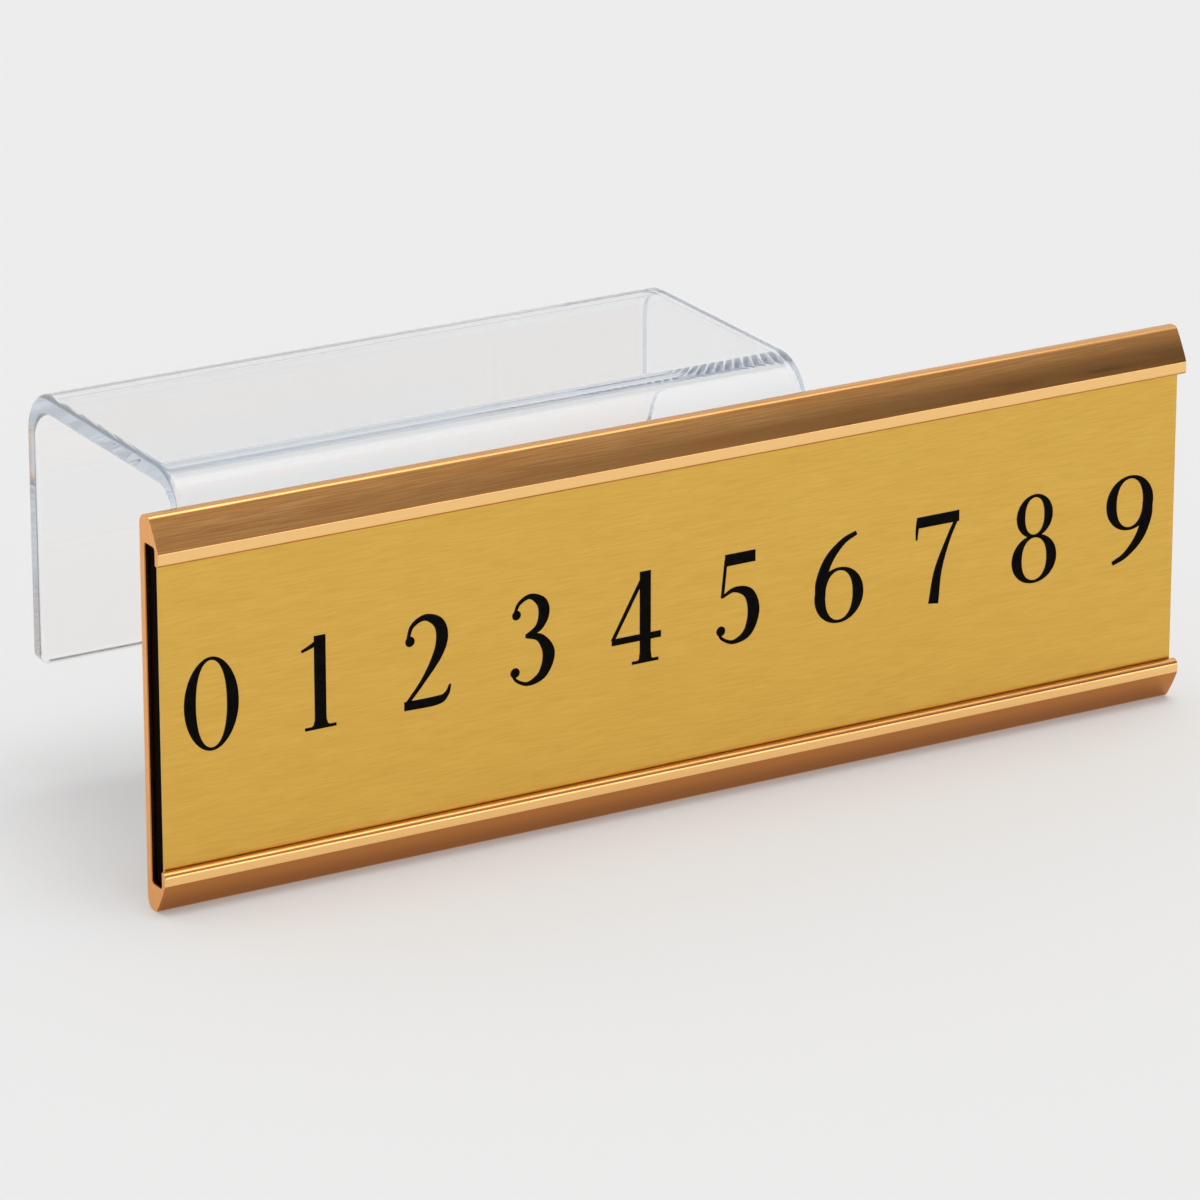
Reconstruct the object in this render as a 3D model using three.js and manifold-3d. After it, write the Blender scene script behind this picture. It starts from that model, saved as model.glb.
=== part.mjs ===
// Cubicle name plate: a clear sheet bracket that hangs over the top of a partition, and on its
// front leg a metal channel that holds a two-ply plate, which slides out endwise.
//
// Millimetres, +Z up, +X to the right along the plate, -Y to the front.
// The origin is the middle of the bracket's underside, where it sits on the partition's top edge.

import * as THREE from "three";
import { mergeVertices } from "three/addons/utils/BufferGeometryUtils.js";
import Module from "manifold-3d";

const wasm = await Module();
wasm.setup();

// Plate: a thin brass face on a black core, of the common 8 1/2 by 2 1/2 inch size
const plateLength = 215.9;
const plateHeight = 63.5;
const faceThickness = 0.6;
const coreThickness = 2.6;

// Holder: one extruded channel, closed to the back and open at both ends
const runningClearance = 0.3;
const endRecess = 0.8;
const holderWall = 1.9;
const lipThickness = 1.5;
const lipOverlap = 3.0;
const crownHeight = 5.25;
const crownWidth = 3.6;
const slopeHeight = 6.1;
const backCornerRadius = 2.2;
const crestRadius = 1.3;
const lipCornerRadius = 0.3;
const upperNoseRadius = 0.6;
const lowerNoseRadius = 1.15;
const lipInsideRadius = 0.25;

// Bracket: one clear sheet with two bends
const sheetThickness = 4.0;
const gapWidth = 54.0;
const legDepth = 50.0;
const bracketLength = 130.0;
const innerBendRadius = 5.5;
const legCornerRadius = 2.0;

// Tape strips between the bracket's front leg and the holder's back
const tapeThickness = 1.0;
const tapeWidth = 12.7;
const tapeLength = 110.0;
const tapeMargin = 3.0;

// Where the holder sits on the bracket
const holderDrop = 0.4;
const holderOffset = 35.0;

// Rounded corners are drawn with twice this many straight steps each
const cornerSteps = 5;

// Sizes that follow from the ones above
const plateThickness = faceThickness + coreThickness;
const channelDepth = plateThickness + 2 * runningClearance;
const slotCornerRadius = 2 * runningClearance;
const slotHeight = plateHeight + 2 * runningClearance;
const holderHeight = slotHeight + 2 * crownHeight;
const holderLength = plateLength + 2 * endRecess;
const holderDepth = holderWall + channelDepth + lipThickness;
const lipReach = crownHeight + runningClearance + lipOverlap;
const outerBendRadius = innerBendRadius + sheetThickness;
const legFrontY = -(gapWidth / 2 + sheetThickness);
const holderBackY = legFrontY - tapeThickness;
const holderTopZ = -holderDrop;
const holderMiddleZ = holderTopZ - holderHeight / 2;
const plateBackY = holderBackY - holderWall - runningClearance;

const acrylic = new THREE.MeshStandardMaterial({
  color: 0xe6ebf2,
  roughness: 0.05,
  metalness: 0.0,
  transparent: true,
  opacity: 0.3,
});
const copperAluminium = new THREE.MeshStandardMaterial({ color: 0xc07a45, roughness: 0.3, metalness: 1.0 });
const brushedBrass = new THREE.MeshStandardMaterial({ color: 0xcda64c, roughness: 0.35, metalness: 1.0 });
const blackCore = new THREE.MeshStandardMaterial({ color: 0x0c0b0b, roughness: 0.5, metalness: 0.0 });
const whiteFoam = new THREE.MeshStandardMaterial({ color: 0xe8e8e4, roughness: 0.9, metalness: 0.0 });

// A closed outline from [x, y, radius] corners, each corner rounded by an arc where it has a radius
function roundedShape(corners) {
  const shape = new THREE.Shape();
  corners.forEach(([x, y, radius = 0], i) => {
    const here = new THREE.Vector2(x, y);
    const before = new THREE.Vector2(...corners.at(i - 1).slice(0, 2)).sub(here).normalize();
    const after = new THREE.Vector2(...corners[(i + 1) % corners.length].slice(0, 2)).sub(here).normalize();
    const halfAngle = Math.acos(before.dot(after)) / 2;
    const reach = radius / Math.tan(halfAngle);
    const start = here.clone().addScaledVector(before, reach);
    if (i === 0) shape.moveTo(start.x, start.y);
    else shape.lineTo(start.x, start.y);
    if (radius === 0) return;
    const inward = before.clone().add(after).normalize();
    const centre = here.clone().addScaledVector(inward, radius / Math.sin(halfAngle));
    const end = here.clone().addScaledVector(after, reach);
    const turnsRight = before.cross(after) > 0;
    const startAngle = Math.atan2(start.y - centre.y, start.x - centre.x);
    const endAngle = Math.atan2(end.y - centre.y, end.x - centre.x);
    shape.absarc(centre.x, centre.y, radius, startAngle, endAngle, turnsRight);
  });
  shape.closePath();
  return shape;
}

// The outline's x and y become Y and Z, and it runs along X, centred on X = 0
function extrudeAlongX(shape, length) {
  const geometry = new THREE.ExtrudeGeometry(shape, {
    depth: length,
    bevelEnabled: false,
    curveSegments: cornerSteps,
  });
  geometry.translate(0, 0, -length / 2);
  const axisY = new THREE.Vector3(0, 1, 0);
  const axisZ = new THREE.Vector3(0, 0, 1);
  const axisX = new THREE.Vector3(1, 0, 0);
  return geometry.applyMatrix4(new THREE.Matrix4().makeBasis(axisY, axisZ, axisX));
}

// The outline's x and y become X and Z, and it runs along Y, centred on Y = 0
function extrudeAlongY(shape, length) {
  const geometry = new THREE.ExtrudeGeometry(shape, {
    depth: length,
    bevelEnabled: false,
    curveSegments: cornerSteps,
  });
  geometry.translate(0, 0, -length / 2);
  return geometry.rotateX(Math.PI / 2);
}

function solidFrom(geometry) {
  const bare = geometry.clone();
  bare.deleteAttribute("normal");
  bare.deleteAttribute("uv");
  const merged = mergeVertices(bare);
  return new wasm.Manifold(
    new wasm.Mesh({
      numProp: 3,
      vertProperties: new Float32Array(merged.attributes.position.array),
      triVerts: new Uint32Array(merged.index.array),
    }),
  );
}

function geometryFrom(solid) {
  const mesh = solid.getMesh();
  const geometry = new THREE.BufferGeometry();
  geometry.setAttribute("position", new THREE.BufferAttribute(mesh.vertProperties, 3));
  geometry.setIndex(new THREE.BufferAttribute(mesh.triVerts, 1));
  geometry.computeVertexNormals();
  return geometry;
}

function namedMesh(name, geometry, material) {
  const mesh = new THREE.Mesh(geometry, material);
  mesh.name = name;
  return mesh;
}

// The bracket is an upside-down U, with the corners of both legs' lower edges rounded
function makeBracket() {
  const inner = gapWidth / 2;
  const outer = inner + sheetThickness;
  const bentSheet = roundedShape([
    [-outer, -legDepth],
    [-inner, -legDepth],
    [-inner, 0, innerBendRadius],
    [inner, 0, innerBendRadius],
    [inner, -legDepth],
    [outer, -legDepth],
    [outer, sheetThickness, outerBendRadius],
    [-outer, sheetThickness, outerBendRadius],
  ]);
  const half = bracketLength / 2;
  const aboveSheet = 2 * sheetThickness;
  const sheetOutline = roundedShape([
    [-half, -legDepth, legCornerRadius],
    [half, -legDepth, legCornerRadius],
    [half, aboveSheet],
    [-half, aboveSheet],
  ]);
  const beyondEnds = 2 * legCornerRadius;
  const bent = solidFrom(extrudeAlongX(bentSheet, bracketLength + beyondEnds));
  const cutter = solidFrom(extrudeAlongY(sheetOutline, 2 * outer + beyondEnds));
  return namedMesh("saddle_bracket", geometryFrom(bent.intersect(cutter)), acrylic);
}

// The holder's end outline, seen along +X with the back face on y = 0 and the middle on z = 0.
// Each half is listed from the back wall round to the slot. The lower one mirrors the upper one, but for
// a rounder nose on its lip.
function holderOutline() {
  const top = holderHeight / 2;
  const front = -holderDepth;
  const lipInside = front + lipThickness;
  const slotTop = slotHeight / 2;
  const lipTip = top - lipReach;
  const upperHalf = (noseRadius) => [
    [0, top, backCornerRadius],
    [-crownWidth, top, crestRadius],
    [front, top - slopeHeight, lipCornerRadius],
    [front, lipTip, noseRadius],
    [lipInside, lipTip, lipInsideRadius],
    [lipInside, slotTop, slotCornerRadius],
    [-holderWall, slotTop, slotCornerRadius],
  ];
  const lowerHalf = upperHalf(lowerNoseRadius).map(([y, z, radius]) => [y, -z, radius]);
  return roundedShape([...upperHalf(upperNoseRadius), ...lowerHalf.reverse()]);
}

function makeHolder() {
  const holder = namedMesh("plate_holder", extrudeAlongX(holderOutline(), holderLength), copperAluminium);
  holder.position.y = holderBackY;
  return holder;
}

// One ply of the plate, with its back face at the given depth
function makePly(name, thickness, backY, material) {
  const ply = namedMesh(name, new THREE.BoxGeometry(plateLength, thickness, plateHeight), material);
  ply.position.y = backY - thickness / 2;
  return ply;
}

function makePlate() {
  const plate = new THREE.Group();
  plate.add(makePly("plate_core", coreThickness, plateBackY, blackCore));
  plate.add(makePly("plate_face", faceThickness, plateBackY - coreThickness, brushedBrass));
  return plate;
}

// One strip of tape against the front leg's flat stretch, centred at the given height
function makeTape(name, middleZ) {
  const tape = namedMesh(name, new THREE.BoxGeometry(tapeLength, tapeThickness, tapeWidth), whiteFoam);
  tape.position.set(0, legFrontY - tapeThickness / 2, middleZ);
  return tape;
}

const flatTopZ = sheetThickness - outerBendRadius;
const upperTapeZ = flatTopZ - tapeMargin - tapeWidth / 2;
const lowerTapeZ = -legDepth + tapeMargin + tapeWidth / 2;

// The holder and its plate share one group, which places both on the bracket
const holderWithPlate = new THREE.Group();
holderWithPlate.position.set(holderOffset, 0, holderMiddleZ);
holderWithPlate.add(makeHolder(), makePlate());

const namePlate = new THREE.Group();
namePlate.add(makeBracket());
namePlate.add(makeTape("tape_upper", upperTapeZ));
namePlate.add(makeTape("tape_lower", lowerTapeZ));
namePlate.add(holderWithPlate);

export default namePlate;
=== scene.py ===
"""Looks of the cubicle name plate: a clear saddle bracket, a copper channel and the brass plate in it.

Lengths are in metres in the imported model's own frame: +X to the right along the plate, -Y to the front
and +Z up, with the origin at the middle of the bracket's underside. Sizes in millimetres are written as
a number times MM.
"""

import sys
import logging
import math
from collections.abc import Callable, Sequence
from dataclasses import dataclass, field
from enum import Enum

import bmesh
import bpy
import numpy as np
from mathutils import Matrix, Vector
from mathutils.geometry import delaunay_2d_cdt


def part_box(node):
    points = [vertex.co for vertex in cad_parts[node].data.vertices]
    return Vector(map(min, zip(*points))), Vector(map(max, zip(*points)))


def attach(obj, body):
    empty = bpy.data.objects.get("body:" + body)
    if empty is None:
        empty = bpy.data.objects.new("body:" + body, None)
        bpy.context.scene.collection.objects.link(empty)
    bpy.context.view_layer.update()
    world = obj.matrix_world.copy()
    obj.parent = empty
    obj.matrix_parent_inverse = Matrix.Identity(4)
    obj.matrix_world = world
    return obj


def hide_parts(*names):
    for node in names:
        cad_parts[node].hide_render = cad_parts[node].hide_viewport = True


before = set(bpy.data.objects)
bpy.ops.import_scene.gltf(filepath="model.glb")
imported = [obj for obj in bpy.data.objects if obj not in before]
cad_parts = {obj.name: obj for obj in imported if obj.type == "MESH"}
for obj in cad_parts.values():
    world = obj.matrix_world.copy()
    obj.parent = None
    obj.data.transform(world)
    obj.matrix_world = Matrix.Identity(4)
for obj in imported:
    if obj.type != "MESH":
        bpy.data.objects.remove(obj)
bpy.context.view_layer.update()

MM = 0.001
SHARP_ANGLE = math.radians(35)
WELD_DISTANCE = 0.001 * MM

# Light runs along inside the clear sheet and is turned back at its faces this often before it leaves
ACRYLIC_BOUNCES = 96

log = logging.getLogger("name_plate")

Array = np.ndarray
Piece = bpy.types.Object
Material = bpy.types.Material
Socket = bpy.types.NodeSocket
Triple = tuple[float, float, float]
Span = tuple[float, float]
Value = float | Triple | Vector | Socket
Place = Callable[[Array, Array, Array], Array]


class Body(Enum):
    """The two bodies of the model: what hangs on the partition, and the plate that slides out of it."""

    HANGER = "hanger"
    PLATE = "plate"


# Meshes worked out as whole arrays


@dataclass
class Surface:
    """A surface as arrays of points and of the corners of its faces.

    Attributes:
        points: one row of x, y, z for each point.
        faces: blocks of faces, each with one row of point numbers for each face.
        caps: flat faces with many corners, each with the material slot that it takes.
        painted_light: the light and shade painted on each point, if there is any: -1 is painted shade,
            and 1 is a painted highlight.
    """

    points: Array
    faces: list[Array]
    caps: list[tuple[Array, int]] = field(default_factory=list)
    painted_light: Array | None = None

    def tidied(self) -> "Surface":
        """Leaves out the points that no face uses, and numbers the rest anew."""
        used = np.unique(np.concatenate([block.ravel() for block in self.faces]))
        numbers = np.zeros(len(self.points), dtype=np.int64)
        numbers[used] = np.arange(len(used))
        return Surface(self.points[used], [numbers[block] for block in self.faces])

    def mesh(self, name: str) -> bpy.types.Mesh:
        """Puts the surface into a mesh, smooth round its bends and sharp at its corners.

        Args:
            name: the mesh's name.

        Returns:
            The mesh.
        """
        mesh = bpy.data.meshes.new(name)
        faces = [row for block in self.faces for row in block.tolist()]
        slots = np.zeros(len(faces) + len(self.caps), dtype=np.int32)
        slots[len(faces) :] = [slot for _, slot in self.caps]
        mesh.from_pydata(self.points, [], faces + [cap.tolist() for cap, _ in self.caps])
        mesh.polygons.foreach_set("material_index", slots)
        mesh.polygons.foreach_set("use_smooth", np.ones(len(slots), dtype=bool))
        # The painted light and shade go into a point attribute that the copper's material reads.
        if self.painted_light is not None:
            mesh.attributes.new("painted_light", "FLOAT", "POINT").data.foreach_set("value", self.painted_light)
        mesh.set_sharp_from_angle(angle=SHARP_ANGLE)
        mesh.update()
        return mesh


def joined(first: Surface, second: Surface) -> Surface:
    """Joins two surfaces into one, with the second's points numbered after the first's."""
    faces = first.faces + [block + len(first.points) for block in second.faces]
    return Surface(np.concatenate([first.points, second.points]), faces)


def border(triangles: Array) -> Array:
    """Finds the edges round a patch of triangles, which are those whose reverse belongs to none of them.

    Args:
        triangles: one row of three point numbers for each triangle, against the clock.

    Returns:
        One row of two point numbers for each edge, with the patch on its left.
    """
    edges = np.concatenate([triangles[:, [0, 1]], triangles[:, [1, 2]], triangles[:, [2, 0]]])
    count = triangles.max() + 1
    return edges[~np.isin(edges[:, 0] * count + edges[:, 1], edges[:, 1] * count + edges[:, 0])]


def loops_joined(loops: Array) -> Array:
    """Joins each closed loop of points to the next one by four-sided faces.

    Args:
        loops: point numbers, one closed loop in each row.

    Returns:
        One row of four point numbers for each face.
    """
    after = np.roll(loops, -1, axis=1)
    return np.stack([loops[:-1], loops[1:], after[1:], after[:-1]], axis=-1).reshape(-1, 4)


@dataclass(frozen=True)
class Box:
    """A box between its lowest and its highest corner."""

    low: Vector
    high: Vector

    @property
    def size(self) -> Vector:
        """Its size along each axis."""
        return self.high - self.low

    @property
    def middle(self) -> Vector:
        """Its middle."""
        return (self.low + self.high) / 2


@dataclass(frozen=True)
class RoundedSheet:
    """A sheet with rounded corners and softened edges, before it is bent or set in place.

    A point of it has x along the sheet, s across it and w through its thickness, each from its middle.

    Attributes:
        length: its size along x.
        width: its size along s.
        thickness: its size along w.
        corner: radius of its four corners, seen from the face.
        edge: radius by which the edges of both faces are softened.
        steps: steps in a quarter turn.
        columns: points in each row of a face.
    """

    length: float
    width: float
    thickness: float
    corner: float
    edge: float
    steps: int
    columns: int = 9

    @classmethod
    def filling(cls, box: Box, corner: float, edge: float, steps: int) -> "RoundedSheet":
        """The sheet that fills a box when it stands upright."""
        length, thickness, width = box.size
        return cls(length, width, thickness, corner, edge, steps)

    def face_grid(self, bends: Array) -> tuple[Array, Array, Array]:
        """Works out the grid of points that both faces share.

        A corner's row at the turn a from the sheet's end stands radius times (1 - cos a) from the end,
        and is shorter by radius times (1 - sin a) at each side.

        Args:
            bends: the places along s, between the corners, of the rows where the sheet bends.

        Returns:
            The grid's x, its s, and the turn a of each row.
        """
        half_length = self.length / 2 - self.edge
        half_width = self.width / 2 - self.edge
        corner = self.corner - self.edge
        turn = np.linspace(0, np.pi / 2, self.steps + 1)
        near_end = -half_width + corner * (1 - np.cos(turn))
        near_reach = half_length - corner * (1 - np.sin(turn))
        row_s = np.concatenate([near_end, bends, -near_end[::-1]])
        reach = np.concatenate([near_reach, np.full(len(bends), half_length), near_reach[::-1]])
        lean = np.concatenate([turn, np.full(len(bends), np.pi / 2), np.pi - turn[::-1]])
        share = np.linspace(-1, 1, self.columns)
        return reach[:, None] * share, np.repeat(row_s[:, None], self.columns, axis=1), lean

    @staticmethod
    def rim(rows: int, columns: int) -> Array:
        """The numbers of the points round a grid, against the clock from its first corner."""
        grid = np.arange(rows * columns).reshape(rows, columns)
        return np.concatenate([grid[0, :-1], grid[:-1, -1], grid[-1, :0:-1], grid[:0:-1, 0]])

    def face_outline(self) -> Array:
        """The outline of an unbent sheet's face in x and s, with the same points as its rim has."""
        x, s, _ = self.face_grid(np.zeros(1))
        return np.stack([x.ravel(), s.ravel()], axis=-1)[self.rim(*x.shape)]

    def surface(self, place: Place, bends: Array = np.zeros(1), faced: bool = True) -> Surface:
        """Works out the sheet's two faces and the band round them.

        The band carries a quarter round, a straight and another quarter round along the rim.

        Args:
            place: turns arrays of x, s and w into points.
            bends: the places along s, between the corners, of the rows where the sheet bends.
            faced: whether the front face is there, or is left open for another one.

        Returns:
            The surface.
        """
        x, s, lean = self.face_grid(bends)
        rows, columns = x.shape
        rim = self.rim(rows, columns)
        end_row = np.zeros(columns - 1)
        out_x = np.concatenate([end_row, np.sin(lean[:-1]), end_row, -np.sin(lean[:0:-1])])
        out_s = np.concatenate([end_row - 1, -np.cos(lean[:-1]), end_row + 1, -np.cos(lean[:0:-1])])

        half_thickness = self.thickness / 2
        quarter = np.linspace(np.pi / 2, 0, self.steps + 1)[1:]
        out = self.edge * np.cos(quarter)
        up = half_thickness - self.edge + self.edge * np.sin(quarter)
        out = np.concatenate([out, out[::-1]])[:, None]
        up = np.concatenate([up, -up[::-1]])[:, None]
        band_x = x.ravel()[rim] + out * out_x
        band_s = s.ravel()[rim] + out * out_s
        band_w = np.repeat(up, len(rim), axis=1)
        face_w = np.full(x.size, half_thickness)
        points = place(
            np.concatenate([x.ravel(), x.ravel(), band_x.ravel()]),
            np.concatenate([s.ravel(), s.ravel(), band_s.ravel()]),
            np.concatenate([face_w, -face_w, band_w.ravel()]),
        )

        grid = np.arange(x.size).reshape(x.shape)
        corners = [grid[:-1, :-1], grid[:-1, 1:], grid[1:, 1:], grid[1:, :-1]]
        face = np.stack(corners, axis=-1).reshape(-1, 4)
        underside = face[:, ::-1] + x.size
        band = 2 * x.size + np.arange(band_x.size).reshape(band_x.shape)
        loops = np.concatenate([rim[None, :], band, rim[None, :] + x.size])
        faces = [underside, loops_joined(loops)]
        if faced:
            return Surface(points, [face, *faces])
        return Surface(points, faces).tidied()


def upright(middle: Vector) -> Place:
    """A place for a sheet that stands with its face to the front: x is +X, s is +Z and w is -Y.

    Args:
        middle: where the sheet's middle goes.

    Returns:
        The function that turns arrays of x, s and w into points.
    """

    def place(x: Array, s: Array, w: Array) -> Array:
        """Stands the sheet up at its middle."""
        return np.stack([middle.x + x, middle.y - w, middle.z + s], axis=-1)

    return place


def rounded_outline(corners: Sequence[Triple], steps: int) -> tuple[Array, Array]:
    """Works out a closed outline whose corners are arcs.

    At each corner the arc's ends lie radius / tan(half the corner's angle) from it along both sides, and
    its centre lies radius / sin(half the angle) from it along the line that halves the angle.

    Args:
        corners: two coordinates and the radius of each corner, in order against the clock.
        steps: straight steps in each arc.

    Returns:
        The outline's points, and its outward directions there.
    """
    points: list[Array] = []
    outward: list[Array] = []
    flat = np.array(corners)[:, :2]
    sides = zip(flat, np.roll(flat, 1, 0), np.roll(flat, -1, 0), corners)
    for here, before, after, (_, _, radius) in sides:
        to_before = (before - here) / np.linalg.norm(before - here)
        to_after = (after - here) / np.linalg.norm(after - here)
        half_angle = np.arccos(to_before @ to_after) / 2
        halving = (to_before + to_after) / np.linalg.norm(to_before + to_after)
        centre = here + halving * radius / np.sin(half_angle)
        turns_left = np.sign(to_after[0] * to_before[1] - to_after[1] * to_before[0])
        sweep = (np.pi / 2 - half_angle) * np.linspace(-1, 1, steps + 1) * turns_left
        middle = np.arctan2(-halving[1], -halving[0])
        spoke = np.stack([np.cos(middle + sweep), np.sin(middle + sweep)], axis=-1)
        points.append(centre + radius * spoke)
        outward.append(spoke * turns_left)
    return np.concatenate(points), np.concatenate(outward)


def make_piece(
    name: str,
    surface: Surface,
    finishes: Sequence[Material],
    weld: bool = False,
) -> Piece:
    """Makes an object of a surface, with shading that keeps the flats flat beside the soft edges.

    Args:
        name: the piece's name.
        surface: its shape.
        finishes: the materials of its slots, in order.
        weld: whether points in the same place become one.

    Returns:
        The object, at the origin.
    """
    piece = bpy.data.objects.new(name, surface.mesh(name))
    bpy.context.scene.collection.objects.link(piece)
    if weld:
        work = bmesh.new()
        work.from_mesh(piece.data)
        bmesh.ops.remove_doubles(work, verts=work.verts, dist=WELD_DISTANCE)
        work.to_mesh(piece.data)
        work.free()
        piece.data.set_sharp_from_angle(angle=SHARP_ANGLE)
    for finish in finishes:
        piece.data.materials.append(finish)
    weigh = piece.modifiers.new("flats_first", "WEIGHTED_NORMAL")
    weigh.keep_sharp = True
    return piece


# Finishes


class Nodes:
    """A node tree in the making, with short calls for what the finishes and the sky share."""

    def __init__(self, owner: Material | bpy.types.World) -> None:
        """Starts with an empty tree.

        Args:
            owner: the material or the world whose nodes they are.
        """
        owner.use_nodes = True
        self.tree = owner.node_tree
        self.tree.nodes.clear()

    def give(self, target: Socket, value: Value) -> None:
        """Gives an input another node's result, a colour or a plain value."""
        if isinstance(value, bpy.types.NodeSocket):
            self.tree.links.new(value, target)
        elif target.type == "RGBA":
            target.default_value = (*value, 1.0)
        else:
            target.default_value = value

    def add(self, kind: str, inputs: dict[str | int, Value], **settings: str) -> bpy.types.Node:
        """Adds a node.

        Args:
            kind: its kind, after the word that all kinds start with.
            inputs: what its inputs are given, by their names or numbers.
            settings: its other settings.

        Returns:
            The node.
        """
        node = self.tree.nodes.new("ShaderNode" + kind)
        for name, setting in settings.items():
            setattr(node, name, setting)
        for name, value in inputs.items():
            self.give(node.inputs[name], value)
        return node

    def spread(self, source: Socket, to: Span, ends: Span = (0.3, 0.7), curve: str = "LINEAR") -> Socket:
        """Spreads a value between two others.

        Args:
            source: the value.
            to: what its lower and its upper end become.
            ends: the value's own lower and upper end.
            curve: how it goes from one to the other.

        Returns:
            The spread value.
        """
        limits = {"From Min": ends[0], "From Max": ends[1], "To Min": to[0], "To Max": to[1]}
        node = self.add("MapRange", {"Value": source, **limits}, interpolation_type=curve)
        return node.outputs["Result"]

    def blend(self, factor: Socket, first: Value, second: Value, kind: str = "RGBA") -> Socket:
        """Blends two colours, or two plain values where the kind is FLOAT.

        Args:
            factor: the share of the second one.
            first: the colour or value at 0.
            second: the one at 1.
            kind: what is blended.

        Returns:
            The blend.
        """
        inputs = {"Factor": factor, "A": first, "B": second}
        return self.add("Mix", inputs, data_type=kind).outputs["Result"]

    def worked(self, operation: str, first: Value, second: Value) -> Socket:
        """Works out one value from two."""
        return self.add("Math", {0: first, 1: second}, operation=operation).outputs["Value"]

    def looking(self, *others: str) -> Socket:
        """Is 1 for rays that come from the camera, and for the other kinds that are named."""
        rays = self.add("LightPath", {}).outputs
        found = rays["Is Camera Ray"]
        for other in others:
            found = self.worked("MAXIMUM", found, rays[other])
        return found

    def chosen(self, factor: Socket, first: Socket, second: Socket) -> Socket:
        """Mixes two shaders by the share of the second one."""
        return self.add("MixShader", {"Fac": factor, 1: first, 2: second}).outputs["Shader"]


class Shader(Nodes):
    """The nodes of a material with one principled shader."""

    def __init__(self, name: str) -> None:
        """Starts the material.

        Args:
            name: its name.
        """
        self.material = bpy.data.materials.new(name)
        super().__init__(self.material)
        self.main = self.add("BsdfPrincipled", {})
        self.output = self.add("OutputMaterial", {"Surface": self.main.outputs["BSDF"]})
        self.position = self.add("TexCoord", {}).outputs["Object"]

    def set(self, inputs: dict[str, Value]) -> None:
        """Gives the principled shader's own inputs what they are to have, by their names."""
        for name, value in inputs.items():
            self.give(self.main.inputs[name], value)

    def noise(self, grain: Triple, detail: float = 2.0) -> Socket:
        """Adds a noise whose spots have a given size along each axis.

        Args:
            grain: the size of a spot along X, Y and Z.
            detail: how many finer noises lie on it.

        Returns:
            The noise's value, from 0 to 1.
        """
        scale = tuple(1 / size for size in grain)
        placed = self.add("Mapping", {"Vector": self.position, "Scale": scale}).outputs["Vector"]
        return self.add("TexNoise", {"Vector": placed, "Scale": 1.0, "Detail": detail}).outputs["Fac"]

    def mottle(self, marks: Socket, first: Triple, second: Triple) -> None:
        """Colours the surface from a first colour to a second one by its marks."""
        self.set({"Base Color": self.blend(self.spread(marks, (0.0, 1.0)), first, second)})

    def roughen(self, marks: Socket, roughness: float, swing: float) -> None:
        """Lets the roughness swing by a share of it to both sides by the surface's marks."""
        self.set({"Roughness": self.spread(marks, (roughness * (1 - swing), roughness * (1 + swing)))})

    def relief(self, *heights: tuple[Socket, float]) -> None:
        """Gives the surface relief.

        Args:
            heights: each height's value, and the depth in metres that its whole range stands for.
        """
        normal: dict[str, Value] = {}
        for height, depth in heights:
            bump = self.add("Bump", {"Strength": 1.0, "Distance": depth, "Height": height, **normal})
            normal = {"Normal": bump.outputs["Normal"]}
        self.set(normal)


@dataclass(frozen=True)
class ClearAcrylic:
    """Clear cast acrylic: smooth and colourless through a face, faintly blue along the sheet."""

    roughness: float = 0.012
    swing: float = 0.7
    marks: Triple = (6 * MM, 6 * MM, 6 * MM)
    refraction: float = 1.49
    tint: Triple = (0.58, 0.72, 0.88)
    tint_density: float = 4.0

    def material(self) -> Material:
        """Makes the material, with a film of fine handling marks in its roughness."""
        shader = Shader("clear_acrylic")
        white = (1.0, 1.0, 1.0)
        shader.set({"Base Color": white, "Transmission Weight": 1.0, "IOR": self.refraction})
        shader.roughen(shader.noise(self.marks, detail=3.0), self.roughness, self.swing)
        body = shader.add("VolumeAbsorption", {"Color": self.tint, "Density": self.tint_density})
        shader.give(shader.output.inputs["Volume"], body.outputs["Volume"])
        return shader.material


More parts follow.
